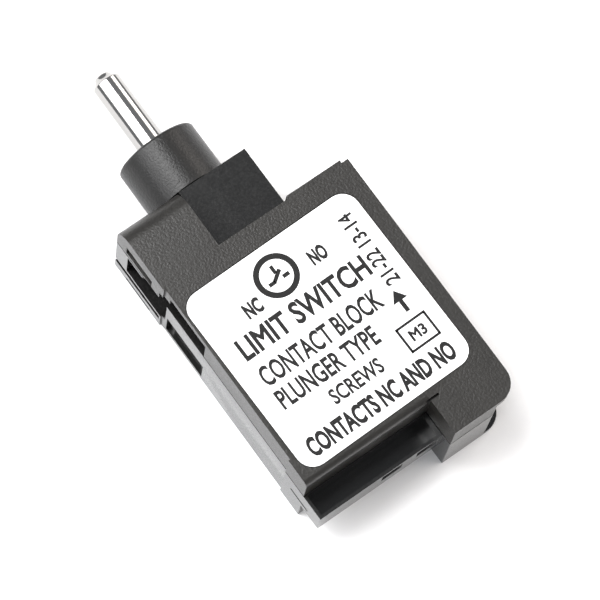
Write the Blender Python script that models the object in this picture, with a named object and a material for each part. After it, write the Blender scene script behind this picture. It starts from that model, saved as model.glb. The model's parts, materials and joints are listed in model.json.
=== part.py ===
"""Open limit switch: a black moulded contact block with a spring-returned steel plunger.

The switch lies on its terminal side: +Z points out of the label face, +Y runs along the plunger
towards its tip, and +X is to the right of the label. The origin is below the middle of the box.
Sizes are worked out in the housing's own corner frame, x from the left side, y from the foot's
end and z from the terminal side, and one empty carries that frame to the origin.
"""

import math

import bmesh
import bpy
import numpy as np

MM = 0.001

# Driving dimensions
WIDTH = 30.0 * MM
DEPTH = 16.0 * MM
LENGTH = 67.4 * MM
FOOT_LEFT = 19.6 * MM
BODY_END = 5.3 * MM
SHOULDER = 37.6 * MM
LIP = 38.1 * MM
NECK_TOP = 46.8 * MM
NECK_RIGHT = 20.2 * MM
RAISED_RIGHT = 9.35 * MM
RECESS_LEVEL = 14.1 * MM
SPLIT = 10.0 * MM
CORNER_RADIUS = 3.0 * MM
FOOT_INSET = 2.4 * MM
INSET_RADIUS = 1.5 * MM
FACE_PLATE = 1.3 * MM
FOOT_FLANGE = 0.9 * MM
PANEL_STEP = 0.25 * MM
PANEL_START = 9.3 * MM
PANEL_STOP = 36.6 * MM
WALL = 1.6 * MM
JOIN_GAP = 0.3 * MM
SEAT_GAP = 0.15 * MM
OVERCUT = 2.0 * MM

# Label
LABEL_CENTRE = (14.35 * MM, 20.5 * MM)
LABEL_SIZE = (27.0 * MM, 27.7 * MM)
LABEL_TURN = math.radians(1.0)
LABEL_RADIUS = 2.4 * MM
LABEL_THICK = 0.2 * MM
LABEL_BED = 0.3 * MM
LABEL_MARGIN = 0.12 * MM

# Plunger line
AXIS_X = 11.9 * MM
AXIS_Z = 8.0 * MM
PIN_RADIUS = 2.05 * MM
PIN_LOW = 37.6 * MM
COLLAR_RADIUS = 5.84 * MM
COLLAR_TOP = 54.9 * MM
SPIGOT_RADIUS = 4.6 * MM
SPIGOT_LOW = 42.2 * MM
BORE_RADIUS = 4.9 * MM
SLIDER_LOW = 34.0 * MM
CARRIER_TOP = 30.0 * MM
CARRIER_LOW = 12.2 * MM
CARRIER_HALF = 2.9 * MM

# Contacts: one pair closes upwards at rest, the other is open below its bridge
CHAMBER_LOW = 7.3 * MM
CHAMBER_HIGH = 36.0 * MM
CHAMBER_FLOOR = 5.0 * MM
BRIDGE_HALF = 7.0 * MM
BRIDGE_WIDTH = 3.4 * MM
BRIDGE_THICK = 0.8 * MM
TIP_RADIUS = 1.4 * MM
TIP_HEIGHT = 0.6 * MM
TIP_OFFSET = 5.5 * MM
CLOSED_BRIDGE_Y = 24.4 * MM
OPEN_BRIDGE_Y = 20.9 * MM
CLOSED_ARM_Y = 26.85 * MM
OPEN_ARM_Y = 16.65 * MM

# Springs: mean coil radius and wire
RETURN_COIL = (1.75 * MM, 0.5 * MM)
RETURN_ENDS = (7.7 * MM, 16.9 * MM)
TRANSFER_COIL = (1.45 * MM, 0.45 * MM)
TRANSFER_ENDS = (27.5 * MM, 35.9 * MM)
CONTACT_COIL = (1.2 * MM, 0.35 * MM)
LONG_SPRING_TURNS = 7
SHORT_SPRING_TURNS = 4

# Terminals: left and right columns, upper pair for the closed contact, lower for the open one
TERMINAL_LEFT = 4.5 * MM
TERMINAL_RIGHT = 25.5 * MM
TERMINAL_UPPER = 31.5 * MM
TERMINAL_LOWER = 12.2 * MM
POCKET_HALF = 3.2 * MM
PLATE_HALF = 3.7 * MM
PLATE_LOW = 5.3 * MM
PLATE_THICK = 0.8 * MM
CLAMP_HALF = 2.85 * MM
CLAMP_LOW = 3.75 * MM
HEAD_LOW = 1.4 * MM
HEAD_HEIGHT = 2.05 * MM
HEAD_RADIUS = 2.6 * MM
SHANK_RADIUS = 1.4 * MM
SHANK_TOP = 8.6 * MM
THREAD_HOLE = 1.75 * MM

ROUND_SIDES = 40
SMALL_SIDES = 28


def clear_scene():
    for thing in list(bpy.data.objects):
        bpy.data.objects.remove(thing, do_unlink=True)


def material(name, colour, roughness, metallic):
    made = bpy.data.materials.new(name)
    made.use_nodes = True
    shader = made.node_tree.nodes["Principled BSDF"]
    shader.inputs["Base Color"].default_value = (*colour, 1.0)
    shader.inputs["Roughness"].default_value = roughness
    shader.inputs["Metallic"].default_value = metallic
    return made


def add_object(name, mesh, parent, finish=None, smooth=False):
    thing = bpy.data.objects.new(name, mesh)
    bpy.context.scene.collection.objects.link(thing)
    thing.parent = parent
    if finish:
        mesh.materials.append(finish)
    if smooth:
        mesh.shade_smooth()
        mesh.set_sharp_from_angle(angle=math.radians(35))
    return thing


def empty_at(name, parent, place):
    made = bpy.data.objects.new(name, None)
    bpy.context.scene.collection.objects.link(made)
    made.parent = parent
    made.location = place
    return made


def mesh_from(name, build):
    """Runs build on a new bmesh and returns the mesh, with its faces pointing out."""
    shape = bmesh.new()
    build(shape)
    bmesh.ops.recalc_face_normals(shape, faces=shape.faces)
    mesh = bpy.data.meshes.new(name)
    shape.to_mesh(mesh)
    shape.free()
    return mesh


def block_mesh(name, low, high):
    """A box between two corners."""

    def build(shape):
        bmesh.ops.create_cube(shape, size=1.0)
        for vertex in shape.verts:
            for axis in range(3):
                side = vertex.co[axis] + 0.5
                vertex.co[axis] = low[axis] + (high[axis] - low[axis]) * side

    return mesh_from(name, build)


def prism_mesh(name, outline, low, high):
    """An outline in x and y, carried straight from one height to another."""

    def build(shape):
        bottom = [shape.verts.new((x, y, low)) for x, y in outline]
        face = shape.faces.new(bottom)
        grown = bmesh.ops.extrude_face_region(shape, geom=[face])
        for item in grown["geom"]:
            if isinstance(item, bmesh.types.BMVert):
                item.co.z = high

    return mesh_from(name, build)


def turned_mesh(name, profile, sides=ROUND_SIDES, axis="Y"):
    """A closed profile of (radius, height) points swung round the chosen axis.

    A point at radius zero becomes a single pole vertex."""

    def place(radius, height, angle):
        across = radius * math.cos(angle)
        along = radius * math.sin(angle)
        if axis == "Y":
            return (across, height, along)
        return (across, along, height)

    def build(shape):
        rings = []
        for radius, height in profile:
            if radius == 0:
                rings.append([shape.verts.new(place(0, height, 0))])
                continue
            angles = [2 * math.pi * step / sides for step in range(sides)]
            rings.append([shape.verts.new(place(radius, height, a)) for a in angles])
        for first, second in zip(rings, rings[1:] + rings[:1]):
            if len(first) == 1 and len(second) == 1:
                continue
            for step in range(sides):
                after = (step + 1) % sides
                corners = [
                    first[step % len(first)],
                    first[after % len(first)],
                    second[after % len(second)],
                    second[step % len(second)],
                ]
                shape.faces.new(list(dict.fromkeys(corners)))

    return mesh_from(name, build)


def coil_mesh(name, coil, ends, turns):
    """A compression spring about the Y axis, with its last turn at each end lying closed."""
    radius, wire = coil
    low, high = ends
    steps, sides = 14, 6

    def build(shape):
        count = turns * steps
        turn = np.linspace(0, turns, count + 1)
        eased = np.clip((turn - 1) / (turns - 2), 0, 1)
        closed = wire * 1.12
        start = low + wire / 2
        rise = high - low - wire - 2 * closed
        height = start + closed * np.clip(turn, 0, 1)
        height = height + rise * eased + closed * np.clip(turn - turns + 1, 0, 1)
        rings = []
        for step in range(count + 1):
            angle = 2 * math.pi * turn[step]
            ring = []
            for side in range(sides):
                round_wire = 2 * math.pi * side / sides
                out = radius + wire / 2 * math.cos(round_wire)
                up = height[step] + wire / 2 * math.sin(round_wire)
                spot = (out * math.cos(angle), up, out * math.sin(angle))
                ring.append(shape.verts.new(spot))
            rings.append(ring)
        for first, second in zip(rings, rings[1:]):
            for side in range(sides):
                after = (side + 1) % sides
                shape.faces.new((first[side], first[after], second[after], second[side]))
        shape.faces.new(rings[0])
        shape.faces.new(rings[-1])

    return mesh_from(name, build)


def rounded_corner(centre, radius, start, steps=8):
    """A quarter of a circle about centre, from the angle start in degrees, turning left."""
    angles = [math.radians(start + 90 * step / steps) for step in range(steps + 1)]
    return [(centre[0] + radius * math.cos(a), centre[1] + radius * math.sin(a)) for a in angles]


def rounded_rectangle(left, low, right, high, radius, steps=8):
    inner_left, inner_right = left + radius, right - radius
    inner_low, inner_high = low + radius, high - radius
    points = rounded_corner((inner_left, inner_low), radius, 180, steps)
    points += rounded_corner((inner_right, inner_low), radius, 270, steps)
    points += rounded_corner((inner_right, inner_high), radius, 0, steps)
    points += rounded_corner((inner_left, inner_high), radius, 90, steps)
    return points


def combine(target, tool, operation):
    """Joins the tool to the target or takes it away, and keeps the tool as a hidden helper."""
    change = target.modifiers.new(tool.name, "BOOLEAN")
    change.operation = operation
    change.solver = "EXACT"
    change.object = tool
    tool.hide_render = True
    tool.display_type = "WIRE"


def add_block(target, name, low, high):
    tool = add_object(name, block_mesh(name, low, high), target.parent)
    combine(target, tool, "UNION")


def cut_block(target, name, low, high):
    tool = add_object(name, block_mesh(name, low, high), target.parent)
    combine(target, tool, "DIFFERENCE")


def cut_mesh(target, name, mesh, place=(0, 0, 0)):
    tool = add_object(name, mesh, target.parent)
    tool.location = place
    combine(target, tool, "DIFFERENCE")


def terminal_places():
    """The four terminals as (name, x, y, side), side being -1 on the left and +1 on the right."""
    return [
        ("nc_left", TERMINAL_LEFT, TERMINAL_UPPER, -1),
        ("nc_right", TERMINAL_RIGHT, TERMINAL_UPPER, 1),
        ("no_left", TERMINAL_LEFT, TERMINAL_LOWER, -1),
        ("no_right", TERMINAL_RIGHT, TERMINAL_LOWER, 1),
    ]


def neck_bore(name, low, high):
    profile = [(BORE_RADIUS, high), (BORE_RADIUS, low), (0, low), (0, high)]
    return turned_mesh(name, profile)


def base_housing(frame, plastic):
    """The deep shell on the terminal side: contact chamber, four screw pockets and the neck."""
    left = PANEL_STEP
    outline = [(0, BODY_END), (FOOT_LEFT, BODY_END), (FOOT_LEFT, 0)]
    outline += rounded_corner((WIDTH - CORNER_RADIUS, CORNER_RADIUS), CORNER_RADIUS, 270)
    outline += [
        (WIDTH, SHOULDER),
        (WIDTH - 1.0 * MM, SHOULDER),
        (WIDTH - 1.0 * MM, LIP),
        (NECK_RIGHT, LIP),
        (NECK_RIGHT, NECK_TOP),
        (0, NECK_TOP),
        (0, PANEL_STOP),
        (left, PANEL_STOP),
        (left, PANEL_START),
        (0, PANEL_START),
    ]
    shell = add_object("base_housing", prism_mesh("base_housing", outline, 0, SPLIT), frame, plastic)
    neck_left = RAISED_RIGHT + JOIN_GAP
    neck_low = SHOULDER + JOIN_GAP
    add_block(
        shell,
        "neck_block",
        (neck_left, neck_low, SPLIT - 1 * MM),
        (NECK_RIGHT, NECK_TOP, RECESS_LEVEL),
    )
    add_block(shell, "pocket_box", (0, 1.6 * MM, 5.0 * MM), (FOOT_LEFT + 1 * MM, 6.3 * MM, SPLIT))
    cut_block(shell, "end_pocket", (0.45 * MM, 2.05 * MM, 5.8 * MM), (18.9 * MM, 5.2 * MM, 12 * MM))
    for index, start in enumerate((10.0 * MM, 15.6 * MM)):
        low = (start, 0.9 * MM, 7.4 * MM)
        high = (start + 3.2 * MM, 2.9 * MM, 9.4 * MM)
        cut_block(shell, f"end_window_{index}", low, high)
    base_chamber(shell)
    base_side_openings(shell)
    set_back_foot_corner(shell, "foot_corner", FOOT_FLANGE, SPLIT + OVERCUT)
    return shell


def base_chamber(shell):
    """The chamber for the moving contacts, and a screw pocket under each terminal."""
    top = SPLIT + OVERCUT
    cut_block(
        shell,
        "chamber",
        (2.0 * MM, CHAMBER_LOW, CHAMBER_FLOOR),
        (WIDTH - 2.0 * MM, CHAMBER_HIGH, top),
    )
    cut_block(
        shell,
        "carrier_well",
        (AXIS_X - CARRIER_HALF - 0.4 * MM, CHAMBER_LOW + 0.1 * MM, 2.6 * MM),
        (AXIS_X + CARRIER_HALF + 0.4 * MM, CHAMBER_HIGH + 0.2 * MM, top),
    )
    low, high = CHAMBER_HIGH - 1 * MM, NECK_TOP + OVERCUT
    cut_mesh(shell, "neck_bore", neck_bore("neck_bore", low, high), (AXIS_X, 0, AXIS_Z))
    for name, x, y, _ in terminal_places():
        cut_block(
            shell,
            f"pocket_{name}",
            (x - POCKET_HALF, y - POCKET_HALF, -OVERCUT),
            (x + POCKET_HALF, y + POCKET_HALF, CHAMBER_FLOOR + 0.5 * MM),
        )


def base_side_openings(shell):
    """Side windows and slits: the wire entries of the upper terminals and the neck's lightening."""
    depth = 2.6 * MM
    for side, edge in ((-1, 0.0), (1, WIDTH)):
        outer = edge + side * OVERCUT
        inner = edge - side * 1.6 * MM
        low_x, high_x = sorted((outer, inner))
        name = "left" if side < 0 else "right"
        cut_block(
            shell,
            f"wire_entry_{name}",
            (low_x, 28.5 * MM, 1.1 * MM),
            (high_x, 34.5 * MM, CHAMBER_FLOOR - 0.3 * MM),
        )
        shallow = sorted((outer, edge - side * 1.0 * MM))
        cut_block(
            shell,
            f"wire_entry_mouth_{name}",
            (shallow[0], 27.5 * MM, 1.0 * MM),
            (shallow[1], 35.5 * MM, 5.7 * MM),
        )
    cut_block(
        shell,
        "wire_entry_lower_right",
        (WIDTH - 2.0 * MM, 9.2 * MM, 1.1 * MM),
        (WIDTH + OVERCUT, 15.2 * MM, CHAMBER_FLOOR - 0.3 * MM),
    )
    cut_block(
        shell,
        "wire_entry_lower_left",
        (1.6 * MM, BODY_END - OVERCUT, -OVERCUT),
        (7.4 * MM, 9.6 * MM, 4.5 * MM),
    )
    cut_block(shell, "neck_window", (-OVERCUT, 35.9 * MM, 3.9 * MM), (depth, 44.3 * MM, 9.5 * MM))
    cut_block(shell, "window_top", (-OVERCUT, 35.9 * MM, 9 * MM), (depth, 41.0 * MM, 12 * MM))
    cut_block(shell, "neck_groove", (-OVERCUT, 36.9 * MM, 2.1 * MM), (0.5 * MM, 48 * MM, 3.3 * MM))
    cut_block(shell, "neck_slit", (-OVERCUT, 38.9 * MM, 0.4 * MM), (0.5 * MM, 44.2 * MM, 0.9 * MM))
    cut_block(shell, "foot_slit", (-OVERCUT, 4.0 * MM, 6.1 * MM), (0.5 * MM, 7.7 * MM, 6.6 * MM))


def set_back_foot_corner(shell, name, low, high):
    """Sets the foot's wall in beside its rounded corner, between the face plate and the flange."""
    inset_x = WIDTH - FOOT_INSET
    radius = INSET_RADIUS
    over = 1 * MM
    outline = [(inset_x - radius, -over), (WIDTH + over, -over), (WIDTH + over, BODY_END)]
    outline += [(inset_x, BODY_END)]
    outline += rounded_corner((inset_x - radius, radius), radius, 270)[::-1]
    cut_mesh(shell, name, prism_mesh(name, outline, low, high))


def label_cover(frame, plastic):
    """The shallow shell on the label side, with the raised part of the neck and the label's bed."""
    left = PANEL_STEP
    outline = [(0, BODY_END), (FOOT_LEFT, BODY_END), (FOOT_LEFT, 0)]
    outline += rounded_corner((WIDTH - CORNER_RADIUS, CORNER_RADIUS), CORNER_RADIUS, 270)
    outline += [
        (WIDTH, SHOULDER),
        (RAISED_RIGHT, SHOULDER),
        (RAISED_RIGHT, NECK_TOP),
        (0, NECK_TOP),
        (0, PANEL_STOP),
        (left, PANEL_STOP),
        (left, PANEL_START),
        (0, PANEL_START),
    ]
    low = SPLIT + JOIN_GAP
    shell = add_object("label_cover", prism_mesh("label_cover", outline, low, DEPTH), frame, plastic)
    cut_block(
        shell,
        "cover_chamber",
        (3.4 * MM, CHAMBER_LOW, low - OVERCUT),
        (WIDTH - 3.4 * MM, CHAMBER_HIGH - 0.1 * MM, DEPTH - WALL),
    )
    bore = neck_bore("cover_bore", CHAMBER_HIGH - 1 * MM, NECK_TOP + OVERCUT)
    cut_mesh(shell, "cover_bore", bore, (AXIS_X, 0, AXIS_Z))
    bed = label_outline(LABEL_MARGIN)
    top = prism_mesh("label_bed", bed, DEPTH - LABEL_BED, DEPTH + OVERCUT)
    cut_mesh(shell, "label_bed", top)
    for side, edge in ((-1, 0.0), (1, WIDTH)):
        reach = sorted((edge + side * OVERCUT, edge - side * 2.4 * MM))
        cut_block(
            shell,
            "side_window_left" if side < 0 else "side_window_right",
            (reach[0], 27.7 * MM, low - OVERCUT),
            (reach[1], 35.4 * MM, 14.7 * MM),
        )
    cut_block(
        shell,
        "cover_neck_window",
        (-OVERCUT, 39.1 * MM, 10.9 * MM),
        (2.6 * MM, 44.7 * MM, 13.1 * MM),
    )
    cut_block(
        shell,
        "window_bridge",
        (-OVERCUT, 35.0 * MM, low - OVERCUT),
        (2.4 * MM, 37.4 * MM, 12.9 * MM),
    )
    cut_block(shell, "window_tail", (-OVERCUT, 36 * MM, 8 * MM), (2.4 * MM, 40.6 * MM, 10.8 * MM))
    add_block(
        shell,
        "shoulder_lip",
        (NECK_RIGHT + JOIN_GAP, SHOULDER - 1 * MM, low),
        (WIDTH - 0.9 * MM, LIP, DEPTH - 0.35 * MM),
    )
    cut_block(
        shell,
        "foot_slot",
        (FOOT_LEFT - 0.5 * MM, BODY_END - 0.02 * MM, DEPTH - 1 * MM),
        (21.0 * MM, BODY_END + 0.3 * MM, DEPTH + OVERCUT),
    )
    set_back_foot_corner(shell, "face_corner", low - OVERCUT, DEPTH - FACE_PLATE)
    round_edge(shell, "neck_round", NECK_TOP, DEPTH, CORNER_RADIUS, 1, -1 * MM, 12 * MM)
    round_edge(shell, "end_round", BODY_END, DEPTH, 0.9 * MM, -1, -1 * MM, FOOT_LEFT)
    return shell


def round_edge(shell, name, y, z, radius, side, low_x, high_x):
    """Rounds the shell's edge at y and z that runs along X: side is +1 where the wall faces +Y."""
    over = 1 * MM
    centre_y = y - side * radius
    centre_z = z - radius
    steps = 8
    arc = [math.radians(90 * step / steps) for step in range(steps + 1)]
    section = [
        (centre_y + side * radius * math.sin(a), centre_z + radius * math.cos(a)) for a in arc
    ]
    section += [(y, z - radius - 0.001 * MM), (y + side * over, z - radius - 0.001 * MM)]
    section += [(y + side * over, z + over), (centre_y, z + over)]
    section = list(dict.fromkeys(section))

    def build(shape):
        ends = []
        for x in (low_x, high_x):
            ends.append([shape.verts.new((x, y_here, z_here)) for y_here, z_here in section])
        for index in range(len(section)):
            after = (index + 1) % len(section)
            sides = (ends[0][index], ends[0][after], ends[1][after], ends[1][index])
            shape.faces.new(sides)
        for end in ends:
            shape.faces.new(end)

    cut_mesh(shell, name, mesh_from(name, build))


def label_outline(margin):
    """The label's outline, turned a little about its centre, as it was stuck on."""
    half_x = LABEL_SIZE[0] / 2 + margin
    half_y = LABEL_SIZE[1] / 2 + margin
    flat = rounded_rectangle(-half_x, -half_y, half_x, half_y, LABEL_RADIUS + margin, 6)
    x, y = LABEL_CENTRE
    across, along = math.cos(LABEL_TURN), math.sin(LABEL_TURN)
    return [(x + u * across - v * along, y + u * along + v * across) for u, v in flat]


def rating_label(frame, card):
    """The stuck-on label, lying in its shallow bed just below the face."""
    top = DEPTH - 0.02 * MM
    mesh = prism_mesh("rating_label", label_outline(0), top - LABEL_THICK, top)
    return add_object("rating_label", mesh, frame, card)


def guide_bush(frame, plastic):
    """The collar that guides the pin: a spigot in the neck's bore under a wider round collar."""
    bore = PIN_RADIUS + 0.1 * MM
    seat = NECK_TOP + SEAT_GAP
    edge = 0.5 * MM
    seal = 3.3 * MM
    profile = [
        (bore, SPIGOT_LOW),
        (bore, COLLAR_TOP - 1.8 * MM),
        (seal, COLLAR_TOP - 1.8 * MM),
        (seal, COLLAR_TOP),
        (COLLAR_RADIUS - edge, COLLAR_TOP),
        (COLLAR_RADIUS - edge * 0.3, COLLAR_TOP - edge * 0.3),
        (COLLAR_RADIUS, COLLAR_TOP - edge),
        (COLLAR_RADIUS, seat),
        (SPIGOT_RADIUS, seat),
        (SPIGOT_RADIUS, SPIGOT_LOW),
    ]
    bush = add_object("guide_bush", turned_mesh("guide_bush", profile), frame, plastic, True)
    bush.location = (AXIS_X, 0, AXIS_Z)
    return bush


def wiper_seal(frame, rubber):
    """The rubber ring that wipes the pin where it enters the collar."""
    inner, outer = PIN_RADIUS + 0.12 * MM, 3.15 * MM
    low, high = COLLAR_TOP - 1.6 * MM, COLLAR_TOP - 0.2 * MM
    profile = [(inner, low), (inner, high), (outer, high), (outer, low)]
    ring = add_object("wiper_seal", turned_mesh("wiper_seal", profile), frame, rubber, True)
    ring.location = (AXIS_X, 0, AXIS_Z)
    return ring


def plunger_pin(axis, steel):
    """The ground steel pin, with a cone and a small dome on its tip."""
    shoulder = LENGTH - 1.4 * MM
    cone_radius = 1.25 * MM
    cone_top = shoulder + 0.8 * MM
    profile = [(0, LENGTH)]
    for step in (0.35, 0.7):
        radius = cone_radius * step
        profile.append((radius, LENGTH - (LENGTH - cone_top) * step**2))
    profile += [
        (cone_radius, cone_top),
        (PIN_RADIUS, shoulder),
        (PIN_RADIUS, PIN_LOW),
        (0, PIN_LOW),
    ]
    return add_object("plunger_pin", turned_mesh("plunger_pin", profile), axis, steel, True)


def plunger_slider(axis, plastic):
    """The slide that holds the pin's lower end and the top of the transfer spring."""
    low = (-CARRIER_HALF, SLIDER_LOW, -3 * MM)
    high = (CARRIER_HALF, SPIGOT_LOW - JOIN_GAP, 3 * MM)
    slide = add_object("plunger_slider", block_mesh("plunger_slider", low, high), axis, plastic)
    socket = PIN_RADIUS + SEAT_GAP
    top = high[1] + OVERCUT
    profile = [(socket, top), (socket, PIN_LOW - JOIN_GAP), (0, PIN_LOW - JOIN_GAP), (0, top)]
    cut_mesh(slide, "pin_socket", turned_mesh("pin_socket", profile))
    seat = 1.95 * MM
    profile = [(seat, 36.2 * MM), (seat, SLIDER_LOW - OVERCUT)]
    profile += [(0, SLIDER_LOW - OVERCUT), (0, 36.2 * MM)]
    cut_mesh(slide, "slider_spring_seat", turned_mesh("slider_spring_seat", profile, SMALL_SIDES))
    return slide


def contact_carrier(axis, plastic):
    """The carriage with a window for the two bridges and a spring seat in each end."""
    low = (-CARRIER_HALF, CARRIER_LOW, -3.5 * MM)
    high = (CARRIER_HALF, CARRIER_TOP, 3.5 * MM)
    carrier = add_object("contact_carrier", block_mesh("contact_carrier", low, high), axis, plastic)
    cut_block(
        carrier,
        "bridge_window",
        (-CARRIER_HALF - OVERCUT, OPEN_BRIDGE_Y - JOIN_GAP, -2.0 * MM),
        (CARRIER_HALF + OVERCUT, CLOSED_BRIDGE_Y + BRIDGE_THICK + JOIN_GAP, 2.0 * MM),
    )
    seats = (
        ("upper_seat", 1.95 * MM, 27.2 * MM, CARRIER_TOP + OVERCUT),
        ("lower_seat", 2.25 * MM, CARRIER_LOW - OVERCUT, 17.2 * MM),
    )
    for name, radius, start, stop in seats:
        profile = [(radius, stop), (radius, start), (0, start), (0, stop)]
        cut_mesh(carrier, name, turned_mesh(name, profile, SMALL_SIDES))
    return carrier


def springs(frame, carrier_axis, wire):
    """Return spring below the carriage, transfer spring above it, contact spring in its window."""
    transfer = coil_mesh("transfer_spring", TRANSFER_COIL, TRANSFER_ENDS, LONG_SPRING_TURNS)
    add_object("transfer_spring", transfer, carrier_axis, wire, True)
    returning = coil_mesh("return_spring", RETURN_COIL, RETURN_ENDS, LONG_SPRING_TURNS)
    spring = add_object("return_spring", returning, frame, wire, True)
    spring.location = (AXIS_X, 0, AXIS_Z)
    ends = (OPEN_BRIDGE_Y + BRIDGE_THICK + SEAT_GAP, CLOSED_BRIDGE_Y - SEAT_GAP)
    contact = coil_mesh("contact_spring", CONTACT_COIL, ends, SHORT_SPRING_TURNS)
    add_object("contact_spring", contact, carrier_axis, wire, True)


def bridges(axis, copper, silver):
    """Two contact bridges across the carriage, each with a silver tip at both ends."""
    pairs = (
        ("nc", CLOSED_BRIDGE_Y, CLOSED_BRIDGE_Y + BRIDGE_THICK + SEAT_GAP),
        ("no", OPEN_BRIDGE_Y, OPEN_BRIDGE_Y - SEAT_GAP - TIP_HEIGHT),
    )
    for name, y, tip_y in pairs:
        half = BRIDGE_WIDTH / 2
        low = (-BRIDGE_HALF, y, -half)
        high = (BRIDGE_HALF, y + BRIDGE_THICK, half)
        title = f"bridge_{name}"
        add_object(title, block_mesh(title, low, high), axis, copper)
        for side, place in (("left", -TIP_OFFSET), ("right", TIP_OFFSET)):
            title = f"moving_tip_{name}_{side}"
            tip = contact_tip(title, axis, silver)
            tip.location = (place, tip_y, 0)


def contact_tip(name, parent, silver):
    """A short round silver tip standing on Y, from its own origin upwards."""
    edge = 0.15 * MM
    profile = [
        (0, TIP_HEIGHT),
        (TIP_RADIUS - edge, TIP_HEIGHT),
        (TIP_RADIUS, TIP_HEIGHT - edge),
        (TIP_RADIUS, edge),
        (TIP_RADIUS - edge, 0),
        (0, 0),
    ]
    return add_object(name, turned_mesh(name, profile, SMALL_SIDES), parent, silver, True)


def screw_hole(name):
    """The cutter for the hole that a terminal screw's shank passes through."""
    profile = [(THREAD_HOLE, DEPTH), (THREAD_HOLE, 0), (0, 0), (0, DEPTH)]
    return turned_mesh(name, profile, SMALL_SIDES, "Z")


def terminals(frame, brass, silver):
    """Four terminal plates: a threaded pad over each pocket, with an arm up to its fixed tip."""
    for name, x, y, side in terminal_places():
        upper = y == TERMINAL_UPPER
        arm_y = CLOSED_ARM_Y if upper else OPEN_ARM_Y
        title = f"terminal_{name}"
        plate_low = (x - 2.4 * MM if side < 0 else x - PLATE_HALF, y - PLATE_HALF, PLATE_LOW)
        plate_high = (
            x + PLATE_HALF if side < 0 else x + 2.4 * MM,
            y + PLATE_HALF,
            PLATE_LOW + PLATE_THICK,
        )
        plate = add_object(title, block_mesh(title, plate_low, plate_high), frame, brass)
        tip_x = AXIS_X + side * TIP_OFFSET
        reach = sorted((tip_x - side * 1.7 * MM, x + side * 1.0 * MM))
        root_low = min(arm_y, plate_low[1])
        root_high = max(arm_y + PLATE_THICK, plate_high[1])
        near = (root_low, plate_low[1] + 1 * MM) if upper else (plate_high[1] - 1 * MM, root_high)
        root_x = sorted((x - side * 1.5 * MM, x + side * 1.0 * MM))
        add_block(
            plate,
            f"arm_root_{name}",
            (root_x[0], near[0], PLATE_LOW + 0.01 * MM),
            (root_x[1], near[1], PLATE_LOW + PLATE_THICK - 0.01 * MM),
        )
        add_block(
            plate,
            f"arm_{name}",
            (reach[0], arm_y, PLATE_LOW + 0.02 * MM),
            (reach[1], arm_y + PLATE_THICK, AXIS_Z + 1.9 * MM),
        )
        cut_mesh(plate, f"thread_{name}", screw_hole(f"thread_{name}"), (x, y, 0))
        tip = contact_tip(f"fixed_tip_{name}", frame, silver)
        tip_y = arm_y - SEAT_GAP - TIP_HEIGHT if upper else arm_y + PLATE_THICK + SEAT_GAP
        tip.location = (tip_x, tip_y, AXIS_Z)


def terminal_screws(frame, steel):
    """Under each terminal a square clamp plate and a slotted cheese-head screw, both lifting."""
    for name, x, y, _ in terminal_places():
        lift = empty_at(f"clamp_axis_{name}", frame, (x, y, 0))
        title = f"clamp_{name}"
        low = (-CLAMP_HALF, -CLAMP_HALF, CLAMP_LOW)
        high = (CLAMP_HALF, CLAMP_HALF, CLAMP_LOW + 0.8 * MM)
        clamp = add_object(title, block_mesh(title, low, high), lift, steel)
        cut_mesh(clamp, f"clamp_hole_{name}", screw_hole(f"clamp_hole_{name}"))
        title = f"screw_{name}"
        edge = 0.25 * MM
        head_top = HEAD_LOW + HEAD_HEIGHT
        profile = [
            (0, SHANK_TOP),
            (SHANK_RADIUS - edge, SHANK_TOP),
            (SHANK_RADIUS, SHANK_TOP - edge),
            (SHANK_RADIUS, head_top),
            (HEAD_RADIUS, head_top),
            (HEAD_RADIUS, HEAD_LOW + edge),
            (HEAD_RADIUS - edge, HEAD_LOW),
            (0, HEAD_LOW),
        ]
        screw_mesh = turned_mesh(title, profile, SMALL_SIDES, "Z")
        screw = add_object(title, screw_mesh, lift, steel, True)
        slot_low = (-HEAD_RADIUS - OVERCUT, -0.35 * MM, HEAD_LOW - OVERCUT)
        slot_high = (HEAD_RADIUS + OVERCUT, 0.35 * MM, HEAD_LOW + 0.9 * MM)
        cut_block(screw, f"slot_{name}", slot_low, slot_high)


def build_switch():
    clear_scene()
    black = material("black_thermoset", (0.045, 0.043, 0.040), 0.45, 0.0)
    collar = material("collar_plastic", (0.055, 0.055, 0.055), 0.4, 0.0)
    card = material("label_card", (0.93, 0.93, 0.94), 0.35, 0.0)
    rubber = material("seal_rubber", (0.02, 0.02, 0.02), 0.7, 0.0)
    steel = material("polished_steel", (0.72, 0.71, 0.70), 0.12, 1.0)
    white = material("slide_plastic", (0.62, 0.60, 0.55), 0.5, 0.0)
    wire = material("spring_wire", (0.55, 0.55, 0.56), 0.25, 1.0)
    copper = material("bridge_copper", (0.72, 0.43, 0.28), 0.3, 1.0)
    silver = material("silver_tip", (0.86, 0.86, 0.84), 0.25, 1.0)
    brass = material("terminal_brass", (0.70, 0.55, 0.28), 0.3, 1.0)
    zinc = material("zinc_steel", (0.60, 0.60, 0.61), 0.3, 1.0)
    frame = empty_at("switch_frame", None, (-WIDTH / 2, -LENGTH / 2, 0))
    plunger_axis = empty_at("plunger_axis", frame, (AXIS_X, 0, AXIS_Z))
    carrier_axis = empty_at("carrier_axis", frame, (AXIS_X, 0, AXIS_Z))
    base_housing(frame, black)
    label_cover(frame, black)
    rating_label(frame, card)
    guide_bush(frame, collar)
    wiper_seal(frame, rubber)
    plunger_pin(plunger_axis, steel)
    plunger_slider(plunger_axis, white)
    contact_carrier(carrier_axis, white)
    bridges(carrier_axis, copper, silver)
    springs(frame, carrier_axis, wire)
    terminals(frame, brass, silver)
    terminal_screws(frame, zinc)


build_switch()
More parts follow.
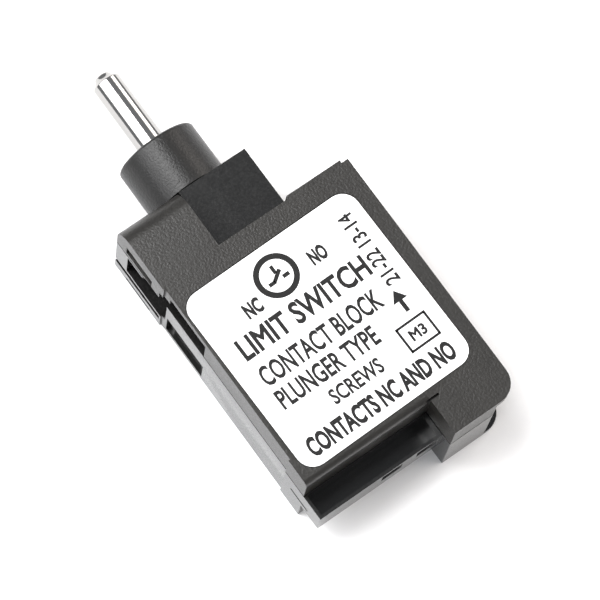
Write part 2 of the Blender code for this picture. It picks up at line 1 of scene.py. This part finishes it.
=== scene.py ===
"""An open limit switch: a black moulded contact block lying on a pale floor, label up.

The pieces follow the order in which the switch is put together: the two housing shells, the
terminals and their screws, the contacts on their carriage, the springs, the plunger and its
guide, and last the label. The studio is at the end.
"""

import json
import math

import bmesh
import bpy
import numpy as np
from mathutils import Matrix, Vector

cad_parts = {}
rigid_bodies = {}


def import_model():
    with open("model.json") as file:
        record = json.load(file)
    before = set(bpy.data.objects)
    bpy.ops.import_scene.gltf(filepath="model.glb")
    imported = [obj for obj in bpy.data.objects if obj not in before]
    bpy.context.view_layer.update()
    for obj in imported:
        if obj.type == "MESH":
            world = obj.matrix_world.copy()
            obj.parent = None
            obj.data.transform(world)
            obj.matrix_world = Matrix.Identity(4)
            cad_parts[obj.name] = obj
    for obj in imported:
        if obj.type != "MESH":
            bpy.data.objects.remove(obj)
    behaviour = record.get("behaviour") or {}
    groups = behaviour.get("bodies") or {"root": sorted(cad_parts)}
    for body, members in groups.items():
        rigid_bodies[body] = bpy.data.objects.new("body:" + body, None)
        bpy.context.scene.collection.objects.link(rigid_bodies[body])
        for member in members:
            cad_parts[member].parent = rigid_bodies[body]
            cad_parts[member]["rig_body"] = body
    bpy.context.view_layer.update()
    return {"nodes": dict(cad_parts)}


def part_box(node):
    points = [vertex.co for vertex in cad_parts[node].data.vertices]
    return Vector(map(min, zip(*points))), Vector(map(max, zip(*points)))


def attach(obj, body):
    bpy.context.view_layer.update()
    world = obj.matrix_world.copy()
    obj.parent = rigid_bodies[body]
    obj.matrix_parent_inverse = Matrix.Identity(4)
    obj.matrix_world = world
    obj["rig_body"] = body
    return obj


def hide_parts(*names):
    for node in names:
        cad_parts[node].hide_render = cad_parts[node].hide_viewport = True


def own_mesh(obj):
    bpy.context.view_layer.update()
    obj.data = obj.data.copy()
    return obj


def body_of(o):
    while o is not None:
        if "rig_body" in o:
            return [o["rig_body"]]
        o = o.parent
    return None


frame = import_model()

# Housing shells. A deep shell on the terminal side and a shallow one on the label side, both
# compression moulded in black thermoset. They meet on a flat joint, and every moulded edge is
# slightly soft. The deep shell is glossier than the label side, where the mould was blasted.


class Signal:
    """A socket of a material's node tree, which can be used in sums."""

    def __init__(self, socket):
        self.socket = socket
        self.tree = socket.id_data

    def node(self, kind, settings, values, output=0):
        """Adds a node of this kind: its settings first, then the values or links of its sockets."""
        made = self.tree.nodes.new(kind)
        for name, setting in settings.items():
            setattr(made, name, setting)
        for name, value in values.items():
            if isinstance(value, Signal):
                self.tree.links.new(value.socket, made.inputs[name])
            else:
                made.inputs[name].default_value = value
        return Signal(made.outputs[output])

    def maths(self, operation, first, second):
        return self.node("ShaderNodeMath", {"operation": operation}, {0: first, 1: second})

    def __add__(self, other):
        return self.maths("ADD", self, other)

    def __radd__(self, other):
        return self.maths("ADD", other, self)

    def __sub__(self, other):
        return self.maths("SUBTRACT", self, other)

    def __rsub__(self, other):
        return self.maths("SUBTRACT", other, self)

    def __mul__(self, other):
        return self.maths("MULTIPLY", self, other)

    def __rmul__(self, other):
        return self.maths("MULTIPLY", other, self)

    def above(self, edge, soft):
        """0 below the edge and 1 above it, with a soft step of this width."""
        values = {"Value": self, "From Min": edge - soft / 2, "From Max": edge + soft / 2}
        return self.node("ShaderNodeMapRange", {"clamp": True}, values)

    def noise(self, scale, detail=2.0, stretch=(1, 1, 1)):
        """Cloudy noise about 0.5, with this many cells to the metre along each axis."""
        spot = self.node("ShaderNodeMapping", {}, {"Vector": self, "Scale": stretch})
        return self.node("ShaderNodeTexNoise", {}, {"Vector": spot, "Scale": scale, "Detail": detail})

    def tint(self, low, high):
        """The colour that goes from low to high as this signal goes from 0 to 1."""
        ramp = self.node("ShaderNodeValToRGB", {}, {"Fac": self})
        for stop, colour in zip(ramp.socket.node.color_ramp.elements, (low, high)):
            stop.color = (*colour, 1.0)
        return ramp


def new_finish(name, **fixed):
    """A material with its constants set, its shader, and the place on the piece as a Signal."""
    made = bpy.data.materials.new(name)
    made.use_nodes = True
    shader = made.node_tree.nodes["Principled BSDF"]
    for socket, value in fixed.items():
        shader.inputs[socket.replace("_", " ")].default_value = value
    coordinates = made.node_tree.nodes.new("ShaderNodeTexCoord")
    return made, shader, Signal(coordinates.outputs["Object"])


def drive(shader, **signals):
    """Links each signal to the shader's socket of the same name."""
    for name, signal in signals.items():
        socket = shader.inputs[name.replace("_", " ")]
        signal.tree.links.new(signal.socket, socket)


def bump(height, depth):
    """The normal of a surface that rises by this depth, in metres, where the height is 1."""
    return height.node("ShaderNodeBump", {}, {"Height": height, "Distance": depth, "Strength": 1.0})


def moulded_plastic(name, dark, light, roughness, grain, depth, reflection=1.5):
    """Moulded plastic: slow flow marks in the colour, a fine grain, and uneven gloss."""
    made, shader, place = new_finish(name, IOR=reflection)
    flow = place.noise(140, 4, (1, 0.35, 1))
    fine = place.noise(grain, 3)
    handling = place.noise(300, 5, (1, 0.5, 1))
    drive(
        shader,
        Base_Color=(flow * 0.5 + fine * 0.5).tint(dark, light),
        Roughness=roughness + 0.20 * (fine - 0.5) + 0.08 * (handling - 0.5),
        Normal=bump(fine + 0.3 * flow, depth),
    )
    return made


sharpest = math.radians(32)


def add_piece(name, mesh, finish):
    """An object for a mesh, in one finish, shaded smooth between its sharper edges."""
    mesh.materials.clear()
    mesh.materials.append(finish)
    mesh.shade_smooth()
    mesh.set_sharp_from_angle(angle=sharpest)
    piece = bpy.data.objects.new(name, mesh)
    bpy.context.scene.collection.objects.link(piece)
    return piece


def round_edges(piece, radius):
    """Rounds every edge sharper than the smooth shading's limit."""
    rounding = piece.modifiers.new("rounding", "BEVEL")
    rounding.width = radius
    rounding.segments = 3
    rounding.limit_method = "ANGLE"
    rounding.angle_limit = sharpest
    rounding.harden_normals = True


def stand_for(piece, node):
    """Lets a piece replace a node's solid and ride on its body."""
    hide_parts(node)
    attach(piece, body_of(frame["nodes"][node])[0])


def soft_copy(node, edge, finish, name):
    """A copy of a shell's solid whose edges are rounded to this radius. It stands for the node."""
    mesh = frame["nodes"][node].data.copy()
    shape = bmesh.new()
    shape.from_mesh(mesh)
    bmesh.ops.remove_doubles(shape, verts=shape.verts, dist=0.000002)
    flat = math.radians(0.5)
    bmesh.ops.dissolve_limit(shape, angle_limit=flat, verts=shape.verts, edges=shape.edges)
    shape.to_mesh(mesh)
    shape.free()
    piece = add_piece(name, mesh, finish)
    round_edges(piece, edge)
    stand_for(piece, node)


shell_plastic = moulded_plastic(
    "black thermoset, deep shell",
    dark=(0.005, 0.005, 0.005),
    light=(0.011, 0.0108, 0.0105),
    roughness=0.20,
    grain=3000,
    depth=0.000005,
    reflection=1.6,
)
cover_plastic = moulded_plastic(
    "black thermoset, label side",
    dark=(0.006, 0.0055, 0.0047),
    light=(0.022, 0.0202, 0.0178),
    roughness=0.36,
    grain=3200,
    depth=0.000045,
    reflection=1.55,
)
soft_copy("base_housing", 0.00014, shell_plastic, "deep_shell")
soft_copy("label_cover", 0.00016, cover_plastic, "cover_shell")

# Terminals. Four stamped brass plates, each with an arm bent up to a contact, and under each
# plate a zinc plated clamp and a slotted cheese-head screw, put in from the terminal side.


def worked_metal(name, dark, light, roughness, lines, stretch, depth):
    """Sheet or turned metal: tool lines drawn out along one axis, with dull and bright clouds."""
    made, shader, place = new_finish(name, Metallic=1.0)
    drawn = place.noise(lines, 3, stretch)
    cloud = place.noise(260, 4)
    tarnish = place.noise(700, 5).above(0.6, 0.3)
    drive(
        shader,
        Base_Color=(cloud * 0.6 + drawn * 0.4 - 0.25 * tarnish).tint(dark, light),
        Roughness=roughness + 0.16 * (drawn - 0.5) + 0.14 * tarnish,
        Normal=bump(drawn, depth),
    )
    return made


brass = worked_metal(
    "stamped brass", (0.40, 0.27, 0.10), (0.80, 0.60, 0.29), 0.28, 900, (1, 6, 1), 0.000004
)
zinc = worked_metal(
    "zinc plated steel", (0.38, 0.38, 0.40), (0.72, 0.72, 0.74), 0.30, 1400, (3, 1, 3), 0.000004
)
terminal_names = ("nc_left", "nc_right", "no_left", "no_right")
for name in terminal_names:
    soft_copy(f"terminal_{name}", 0.00008, brass, f"plate_{name}")
    soft_copy(f"clamp_{name}", 0.00012, zinc, f"wire_clamp_{name}")
    soft_copy(f"screw_{name}", 0.00010, zinc, f"cheese_head_{name}")

# Contacts. Two copper alloy bridges in the window of a natural plastic carriage, each with a
# riveted silver tip at both ends, and four silver tips facing them on the terminal arms.

copper = worked_metal(
    "rolled copper alloy", (0.50, 0.24, 0.13), (0.85, 0.50, 0.33), 0.26, 1100, (1, 1, 7), 0.000003
)
silver = worked_metal(
    "contact silver", (0.62, 0.61, 0.58), (0.93, 0.92, 0.89), 0.30, 1800, (1, 1, 1), 0.000005
)
natural_plastic = moulded_plastic(
    "natural moulded nylon", (0.50, 0.47, 0.40), (0.68, 0.65, 0.57), 0.42, 1700, 0.000006
)
soft_copy("contact_carrier", 0.00018, natural_plastic, "carriage")
soft_copy("bridge_nc", 0.00012, copper, "closed_bridge")
soft_copy("bridge_no", 0.00012, copper, "open_bridge")
for name in terminal_names:
    soft_copy(f"moving_tip_{name}", 0.00008, silver, f"bridge_tip_{name}")
    soft_copy(f"fixed_tip_{name}", 0.00008, silver, f"arm_tip_{name}")

# Springs. Three compression springs of bright drawn wire on the plunger's line, with closed
# ends: one lifts the carriage, one joins it to the plunger, and one parts the two bridges.


def add_surface(name, points, finish, ring=False):
    """A piece from a grid of points whose second index runs round. A ring's ends meet."""
    rows, columns = points.shape[:2]
    index = np.arange(rows * columns).reshape(rows, columns)
    lower = index if ring else index[:-1]
    upper = np.roll(index, -1, axis=0) if ring else index[1:]
    quads = np.stack(
        [lower, np.roll(lower, -1, axis=1), np.roll(upper, -1, axis=1), upper], axis=-1
    )
    faces = quads.reshape(-1, 4).tolist()
    if not ring:
        faces += [index[0, ::-1].tolist(), index[-1].tolist()]
    mesh = bpy.data.meshes.new(name)
    mesh.from_pydata(points.reshape(-1, 3).tolist(), [], faces)
    shape = bmesh.new()
    shape.from_mesh(mesh)
    bmesh.ops.remove_doubles(shape, verts=shape.verts, dist=0.0000005)
    bmesh.ops.recalc_face_normals(shape, faces=shape.faces)
    shape.to_mesh(mesh)
    shape.free()
    return add_piece(name, mesh, finish)


def add_spring(node, name, turns, wire):
    """A coil that fills a spring's box: a circle of wire swept round a helix about Y.

    The helix climbs one wire in its first and its last turn, so that both lie closed, and climbs
    evenly between them."""
    low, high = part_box(node)
    outer = (high[0] - low[0]) / 2
    turn = np.linspace(0, turns, turns * 40 + 1)
    end_climb = wire * 1.12
    rise = (high[1] - low[1]) - wire - 2 * end_climb
    height = end_climb * (np.clip(turn, 0, 1) + np.clip(turn - turns + 1, 0, 1))
    height = low[1] + wire / 2 + height + rise * np.clip((turn - 1) / (turns - 2), 0, 1)
    sweep = 2 * np.pi * turn[:, None]
    section = np.linspace(0, 2 * np.pi, 14, endpoint=False)[None, :]
    out = outer - wire / 2 + wire / 2 * np.cos(section)
    centre_x = (low[0] + high[0]) / 2
    across = centre_x + out * np.cos(sweep)
    up = height[:, None] + wire / 2 * np.sin(section) + 0 * sweep
    deep = axis_z + out * np.sin(sweep)
    piece = add_surface(name, np.stack([across, up, deep], axis=-1), spring_wire)
    stand_for(piece, node)
    return piece


pin_low, pin_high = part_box("plunger_pin")
axis_x = (pin_low[0] + pin_high[0]) / 2
axis_z = (pin_low[2] + pin_high[2]) / 2
spring_wire = worked_metal(
    "bright spring wire", (0.42, 0.42, 0.44), (0.70, 0.70, 0.72), 0.22, 2600, (1, 1, 1), 0.000002
)
lifter = add_spring("return_spring", "carriage_lifter", 7, 0.0005)
drive_coil = add_spring("transfer_spring", "drive_coil", 7, 0.00045)
add_spring("contact_spring", "bridge_coil", 4, 0.00035)


def shorten(piece):
    """Gives a spring a mesh of its own."""
    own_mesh(piece)


shorten(lifter)
shorten(drive_coil)

# Plunger. A ground and polished steel pin with a coned tip, pressed into a moulded slide. It
# runs in a black guide bush whose collar stands on the neck, with a rubber ring at its mouth.


def turned(name, radii, heights, finish):
    """A piece turned about the plunger's line.

    The profile point at radius r and height h goes round to (r cos a, h, r sin a) about it."""
    angle = np.linspace(0, 2 * np.pi, 96, endpoint=False)[None, :]
    radius = np.asarray(radii)[:, None]
    height = np.asarray(heights)[:, None] + 0 * angle
    points = [axis_x + radius * np.cos(angle), height, axis_z + radius * np.sin(angle)]
    return add_surface(name, np.stack(points, axis=-1), finish, ring=True)


pin_radius = (pin_high[0] - pin_low[0]) / 2
dome_radius = 0.00125
dome_height = 0.0006
cone_base = pin_high[1] - 0.0014
quarter = np.linspace(0, np.pi / 2, 8)
dome_heights = pin_high[1] - dome_height * (1 - np.cos(quarter))
pin_radii = np.concatenate([dome_radius * np.sin(quarter), [pin_radius, pin_radius, 0]])
pin_heights = np.concatenate([dome_heights, [cone_base, pin_low[1], pin_low[1]]])

polished, polished_shader, place = new_finish("ground steel", Metallic=1.0)
grinding = place.noise(500, 3, (1, 26, 1))
smear = place.noise(330, 4, (1, 0.3, 1))
drive(
    polished_shader,
    Base_Color=(0.5 * grinding + 0.5 * smear).tint((0.36, 0.355, 0.35), (0.50, 0.49, 0.475)),
    Roughness=0.09 + 0.10 * (grinding - 0.5) + 0.06 * smear,
    Normal=bump(grinding, 0.0000009),
)
pin = turned("pin", pin_radii, pin_heights, polished)
round_edges(pin, 0.0001)
stand_for(pin, "plunger_pin")
soft_copy("plunger_slider", 0.00018, natural_plastic, "slide")

bush_low, bush_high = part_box("guide_bush")
collar_radius = (bush_high[0] - bush_low[0]) / 2
collar_top = bush_high[1]
collar_low = collar_top - 0.00795
rim = 0.0005
bore = pin_radius + 0.0001
mouth = 0.0033
mouth_floor = collar_top - 0.0018
spigot = 0.0046
rim_radii = collar_radius - rim + rim * np.sin(quarter)
rim_heights = collar_top - rim + rim * np.cos(quarter)
bush_radii = np.concatenate(
    [[bore, bore, mouth, mouth], rim_radii, [collar_radius, spigot, spigot]]
)
bush_heights = np.concatenate(
    [
        [bush_low[1], mouth_floor, mouth_floor, collar_top],
        rim_heights,
        [collar_low, collar_low, bush_low[1]],
    ]
)
collar_plastic = moulded_plastic(
    "black collar plastic",
    dark=(0.005, 0.005, 0.005),
    light=(0.016, 0.0155, 0.015),
    roughness=0.38,
    grain=3400,
    depth=0.000060,
    reflection=1.42,
)
collar = turned("collar", bush_radii, bush_heights, collar_plastic)
round_edges(collar, 0.00008)
stand_for(collar, "guide_bush")

seal_low, seal_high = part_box("wiper_seal")
seal_outer = (seal_high[0] - seal_low[0]) / 2
seal_inner = pin_radius + 0.00012
rubber = moulded_plastic(
    "seal rubber", (0.012, 0.012, 0.012), (0.03, 0.03, 0.03), 0.62, 2600, 0.000012
)
swell = np.linspace(0, 2 * np.pi, 24, endpoint=False)


def squared(wave, low, high):
    """A cosine or sine between two limits, pushed outwards so that its circle looks squarer."""
    return (high + low) / 2 + (high - low) / 2 * np.sign(wave) * abs(wave) ** 0.6


seal_radii = squared(np.cos(swell), seal_inner, seal_outer)
seal_heights = squared(np.sin(swell), seal_low[1], seal_high[1])
seal = turned("seal", seal_radii, seal_heights, rubber)
stand_for(seal, "wiper_seal")

# Label. A white printed film stuck in its shallow bed, with black screen print: a round emblem
# with a contact sign, its use in five lines, and a column of terminal numbers at the side.

film, film_shader, place = new_finish("printed film", Coat_Weight=0.25, Coat_Roughness=0.2)
fibre = place.noise(1600, 4)
yellowing = place.noise(90, 3)
drive(
    film_shader,
    Base_Color=(0.6 * yellowing + 0.4 * fibre).tint((0.86, 0.86, 0.865), (0.95, 0.95, 0.95)),
    Roughness=0.38 + 0.14 * (fibre - 0.5),
    Normal=bump(fibre, 0.000002),
)
soft_copy("rating_label", 0.00004, film, "film")

label_low, label_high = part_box("rating_label")
label_x = (label_low[0] + label_high[0]) / 2
label_y = (label_low[1] + label_high[1]) / 2
print_wide = 0.0270
print_tall = 0.0277
label_turn = math.radians(1.0)
ink, ink_shader, place = new_finish("screen ink", IOR=1.35)
mesh_mark = place.noise(2200, 3)
pinholes = place.noise(1300, 5).above(0.66, 0.06)
drive(
    ink_shader,
    Base_Color=(mesh_mark * 0.7 + pinholes * 0.6).tint((0.003, 0.003, 0.003), (0.014, 0.014, 0.014)),
    Roughness=0.5 + 0.2 * (mesh_mark - 0.5),
    Normal=bump(mesh_mark, 0.000002),
)
print_shape = bmesh.new()
ink_low = label_high[2] + 0.000002
ink_high = label_high[2] + 0.000010


def print_mesh(mesh, turn, left, low):
    """Adds a flat mesh to the print, turned in degrees about its own lower left corner.

    Left and low count from the label's lower left corner, and the label lies turned a little."""
    mesh.transform(Matrix.Rotation(math.radians(turn), 4, "Z"))
    mesh.transform(Matrix.Translation((left - print_wide / 2, low - print_tall / 2, 0)))
    mesh.transform(Matrix.Rotation(label_turn, 4, "Z"))
    mesh.transform(Matrix.Translation((label_x, label_y, 0)))
    print_shape.from_mesh(mesh)


def print_line(words, left, low, length, height, turn=0, bold=0.0):
    """Letters drawn to this length and height, from their lower left corner on the label."""
    letters = bpy.data.curves.new("letters", "FONT")
    letters.body = words
    letters.bevel_depth = bold
    letters.bevel_resolution = 0
    letters.resolution_u = 3
    letters.extrude = 0.5
    typed = bpy.data.objects.new("letters", letters)
    bpy.context.scene.collection.objects.link(typed)
    graph = bpy.context.evaluated_depsgraph_get()
    mesh = bpy.data.meshes.new_from_object(typed.evaluated_get(graph))
    bpy.data.objects.remove(typed, do_unlink=True)
    spots = np.empty(len(mesh.vertices) * 3, np.float32)
    mesh.vertices.foreach_get("co", spots)
    spots = spots.reshape(-1, 3)
    spots = (spots - spots.min(axis=0)) / np.ptp(spots, axis=0)
    spots = spots * (length, height, ink_high - ink_low) + (0, 0, ink_low)
    mesh.vertices.foreach_set("co", spots.ravel())
    print_mesh(mesh, turn, left, low)


def print_ring(left, low, wide, tall, stroke):
    """A stroke along an ellipse about its centre, as a grid of steps round it and round the stroke."""
    steps = 64
    round_it = 2 * np.pi * np.linspace(0, 1, steps, endpoint=False)[:, None]
    across = np.array([-stroke / 2, stroke / 2, stroke / 2, -stroke / 2])[None, :]
    level = np.array([ink_low, ink_low, ink_high, ink_high])[None, :] + 0 * round_it
    spots = [(wide + across) * np.cos(round_it), (tall + across) * np.sin(round_it), level]
    index = np.arange(steps * 4).reshape(steps, 4)
    upper = np.roll(index, -1, axis=0)
    quads = np.stack([index, upper, np.roll(upper, -1, axis=1), np.roll(index, -1, axis=1)], -1)
    mesh = bpy.data.meshes.new("ring")
    spots = np.stack(spots, axis=-1).reshape(-1, 3)
    mesh.from_pydata(spots.tolist(), [], quads.reshape(-1, 4).tolist())
    print_mesh(mesh, 0, left, low)


def print_shape_of(corners, left, low, turn=0):
    """A flat shape through these corners, a few to a sign."""
    count = len(corners)
    spots = [(x, y, level) for level in (ink_low, ink_high) for x, y in corners]
    faces = [list(range(count))[::-1], list(range(count, 2 * count))]
    for first in range(count):
        second = (first + 1) % count
        faces.append([first, second, count + second, count + first])
    mesh = bpy.data.meshes.new("sign")
    mesh.from_pydata(spots, [], faces)
    print_mesh(mesh, turn, left, low)


def print_bar(left, low, length, stroke, turn=0):
    half = stroke / 2
    print_shape_of(((0, -half), (length, -half), (length, half), (0, half)), left, low, turn)


MM = 0.001
print_line("LIMIT SWITCH", 2.5 * MM, 16.3 * MM, 20.3 * MM, 3.2 * MM, bold=0.030)
print_line("CONTACT BLOCK", 2.6 * MM, 12.0 * MM, 18.9 * MM, 2.9 * MM, bold=0.026)
print_line("PLUNGER TYPE", 2.6 * MM, 8.4 * MM, 15.6 * MM, 2.8 * MM, bold=0.026)
print_line("SCREWS", 8.3 * MM, 5.1 * MM, 8.0 * MM, 2.2 * MM, bold=0.026)
print_line("CONTACTS NC AND NO", 1.9 * MM, 1.1 * MM, 23.2 * MM, 2.8 * MM, bold=0.045)
print_line("21-22 13-14", 25.3 * MM, 13.7 * MM, 11.2 * MM, 2.1 * MM, turn=90, bold=0.024)
print_line("NC", 6.1 * MM, 20.6 * MM, 2.5 * MM, 2.2 * MM, bold=0.050)
print_line("NO", 17.2 * MM, 21.5 * MM, 2.5 * MM, 2.2 * MM, bold=0.050)
emblem_x, emblem_y = 12.4 * MM, 23.4 * MM
print_ring(emblem_x, emblem_y, 2.65 * MM, 2.65 * MM, 0.80 * MM)
print_bar(emblem_x - 1.6 * MM, emblem_y - 0.6 * MM, 1.0 * MM, 0.55 * MM)
print_bar(emblem_x + 0.6 * MM, emblem_y - 0.6 * MM, 1.0 * MM, 0.55 * MM)
print_bar(emblem_x - 0.75 * MM, emblem_y - 0.6 * MM, 1.9 * MM, 0.55 * MM, 35)
print_bar(emblem_x + 0.1 * MM, emblem_y + 0.3 * MM, 1.2 * MM, 0.5 * MM, 90)
arrow = [(0, -0.3), (1.7, -0.3), (1.7, -1.1), (3.3, 0), (1.7, 1.1), (1.7, 0.3), (0, 0.3)]
print_shape_of([(x * MM, y * MM) for x, y in arrow], 23.4 * MM, 9.7 * MM, 90)
box_left, box_low, box_wide, box_tall, box_stroke = 20.5 * MM, 5.0 * MM, 4.4 * MM, 3.5 * MM, 0.34 * MM
for low in (box_low, box_low + box_tall):
    print_bar(box_left - box_stroke / 2, low, box_wide + box_stroke, box_stroke)
for left in (box_left, box_left + box_wide):
    print_bar(left, box_low, box_tall, box_stroke, 90)
print_line("M3", 21.5 * MM, 5.95 * MM, 2.4 * MM, 1.6 * MM, bold=0.035)

bmesh.ops.remove_doubles(print_shape, verts=print_shape.verts, dist=0.0000001)
bmesh.ops.recalc_face_normals(print_shape, faces=print_shape.faces)
print_data = bpy.data.meshes.new("label_print")
print_shape.to_mesh(print_data)
print_shape.free()
label_print = add_piece("label_print", print_data, ink)
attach(label_print, "housing")

# Studio. A pale sheet of card under the switch, a long soft light beyond its left side, a
# smaller one high over the plunger, a warmer one on the right, and a camera on a long lens.

card, card_shader, place = new_finish("pale card", Roughness=0.7)
tooth = place.noise(900, 3)
drive(card_shader, Base_Color=tooth.tint((0.90, 0.90, 0.91), (0.93, 0.93, 0.93)))
floor_half = 1.5
floor_mesh = bpy.data.meshes.new("floor")
sheet = [(-1, -1), (1, -1), (1, 1), (-1, 1)]
floor_z = -0.00003
corners = [(x * floor_half, y * floor_half, floor_z) for x, y in sheet]
floor_mesh.from_pydata(corners, [], [(0, 1, 2, 3)])
floor_mesh.materials.append(card)
floor = bpy.data.objects.new("floor", floor_mesh)
bpy.context.scene.collection.objects.link(floor)

world = bpy.data.worlds.new("studio")
world.use_nodes = True
bpy.context.scene.world = world
background = world.node_tree.nodes["Background"]
background.inputs["Color"].default_value = (0.93, 0.96, 1.0, 1.0)
background.inputs["Strength"].default_value = 0.36


def soft_light(name, azimuth, elevation, distance, wide, tall, power, colour=(1, 1, 1)):
    """A softbox facing the switch: azimuth 0 stands on the foot's side, 90 on the label's right."""
    around, above = math.radians(azimuth), math.radians(elevation)
    level = math.cos(above) * distance
    spot = (math.sin(around) * level, -math.cos(around) * level, math.sin(above) * distance)
    lamp = bpy.data.lights.new(name, "AREA")
    lamp.shape = "RECTANGLE"
    lamp.size = wide
    lamp.size_y = tall
    lamp.energy = power
    lamp.color = colour
    made = bpy.data.objects.new(name, lamp)
    made.location = spot
    made.rotation_euler = (-Vector(spot)).to_track_quat("-Z", "Y").to_euler()
    bpy.context.scene.collection.objects.link(made)


soft_light("key", 254, 40, 0.9, 1.7, 0.45, 9.5, (0.99, 0.99, 1.0))
soft_light("overhead", 214, 64, 0.9, 0.45, 0.45, 8.0)
soft_light("right_fill", 78, 36, 0.9, 1.2, 0.4, 6.5, (1.0, 0.93, 0.87))

camera_aim = Vector((0.0005, -0.0065, 0.008))
camera_distance = 0.5012
camera_azimuth = math.radians(-50.03)
camera_elevation = math.radians(73.26)
camera_roll = math.radians(14.7)
away = Vector(
    (
        math.sin(camera_azimuth) * math.cos(camera_elevation),
        -math.cos(camera_azimuth) * math.cos(camera_elevation),
        math.sin(camera_elevation),
    )
)
level_right = Vector((math.cos(camera_azimuth), math.sin(camera_azimuth), 0))
level_up = away.cross(level_right)
right = level_right * math.cos(camera_roll) + level_up * math.sin(camera_roll)
up = away.cross(right)
camera_data = bpy.data.cameras.new("camera")
camera_data.lens = 230.3
camera_data.sensor_width = 36
camera_data.clip_start = 0.01
camera = bpy.data.objects.new("camera", camera_data)
turn = Matrix((right, up, away)).transposed().to_4x4()
camera.matrix_world = Matrix.Translation(camera_aim + away * camera_distance) @ turn
bpy.context.scene.collection.objects.link(camera)
bpy.context.scene.camera = camera
bpy.context.scene.view_settings.view_transform = "Standard"
